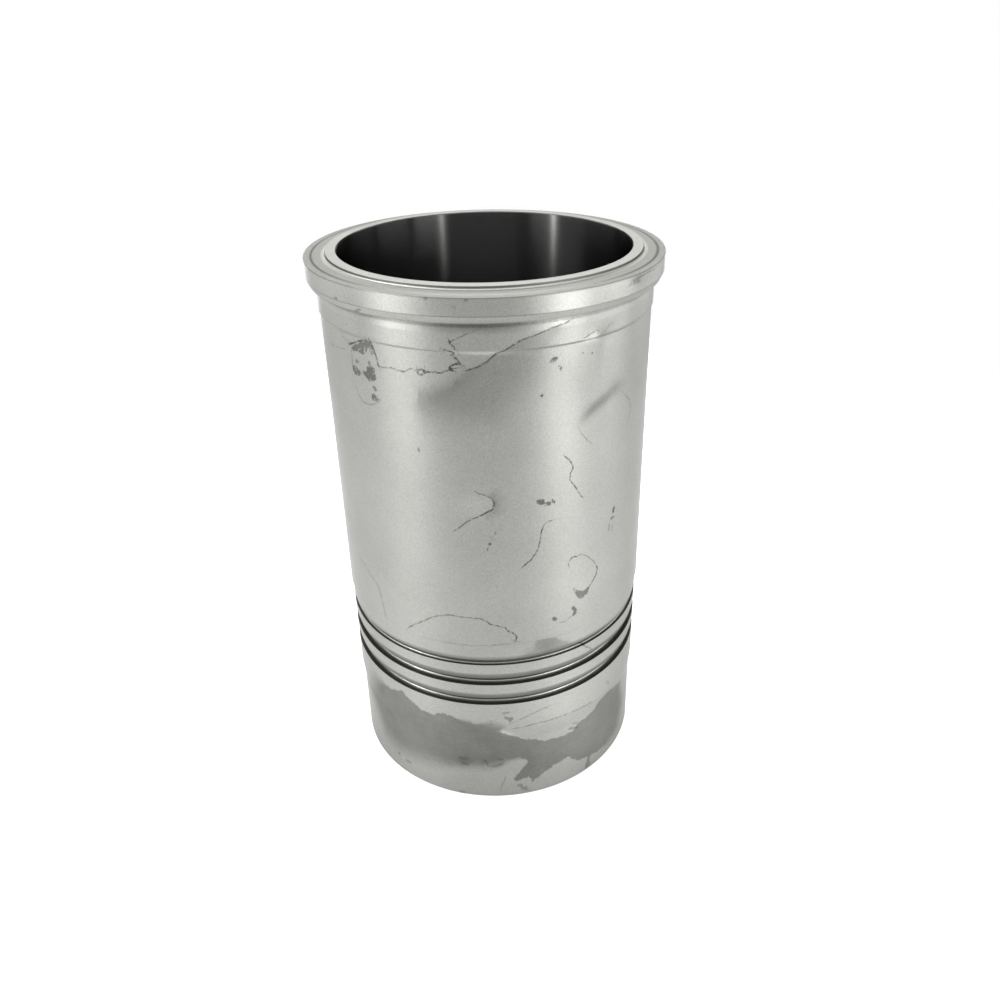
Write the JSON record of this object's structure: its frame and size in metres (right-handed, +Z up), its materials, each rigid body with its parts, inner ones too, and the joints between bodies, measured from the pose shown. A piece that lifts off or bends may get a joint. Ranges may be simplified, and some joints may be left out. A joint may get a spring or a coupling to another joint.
{
  "type": "cylinder liner",
  "caption": "Flanged wet cylinder liner for a large diesel engine, with a plain honed bore, a raised fire ring and packing grooves near its lower end.",
  "frame": {"origin": "centre of the lower face, on the bore axis", "axes": "+Z up along the bore axis, from the skirt towards the flange and fire ring"},
  "size_m": [0.1936, 0.1936, 0.3212],
  "materials": {
    "liner_iron": "fine blasted outside, turned lands, honed bore, with water stains and tide marks"
  },
  "bodies": {
    "root": {"cylinder_liner": "liner_iron"}
  },
  "joints": []
}
